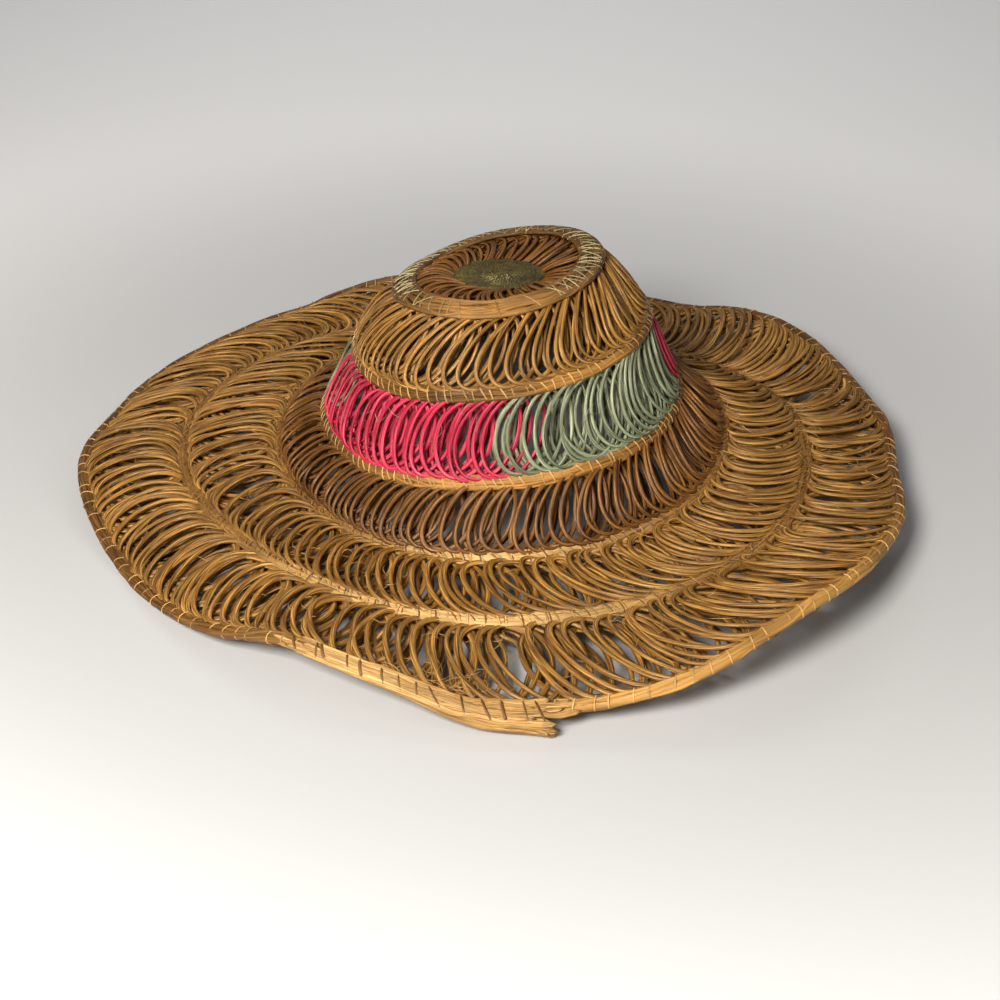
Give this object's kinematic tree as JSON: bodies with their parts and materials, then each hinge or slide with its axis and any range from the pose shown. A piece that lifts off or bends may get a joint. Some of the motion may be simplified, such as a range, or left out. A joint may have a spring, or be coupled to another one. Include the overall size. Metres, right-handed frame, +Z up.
{
  "type": "raffia hat",
  "caption": "Wide sun hat of sewn straw rows joined by open bands of looped straw, with a round crown, a waved brim and a pink and green band.",
  "frame": {"origin": "middle of the hat's outline seen from above, on the surface that the brim rests on", "axes": "+Z up through the crown; the front, with the rim's loose end, faces -Y; +X is to the right seen from the front"},
  "size_m": [0.4512, 0.4496, 0.1314],
  "materials": {
    "looped_straw": "twisted raffia strand, satin",
    "dark_straw": "twisted raffia strand, darker, satin",
    "sewn_straw": "straw bundle sewn over with thread, matt",
    "rim_straw": "wrapped straw bundle, satin",
    "pink_straw": "dyed raffia strand, satin",
    "green_straw": "dyed raffia strand, matt",
    "sage_button": "coiled and sewn dyed raffia, matt"
  },
  "bodies": {
    "root": {"crown_button": "sage_button", "crown_top_loops": "looped_straw", "top_row": "sewn_straw", "upper_loops": "looped_straw", "second_row": "sewn_straw", "pink_loops_front": "pink_straw", "green_loops_right": "green_straw", "pink_loops_back": "pink_straw", "green_loops_left": "green_straw", "third_row": "sewn_straw", "lower_loops": "dark_straw", "base_row": "sewn_straw", "inner_brim_loops": "looped_straw", "middle_row": "sewn_straw", "outer_brim_loops": "looped_straw", "rim": "rim_straw", "rim_end": "rim_straw"}
  },
  "joints": []
}
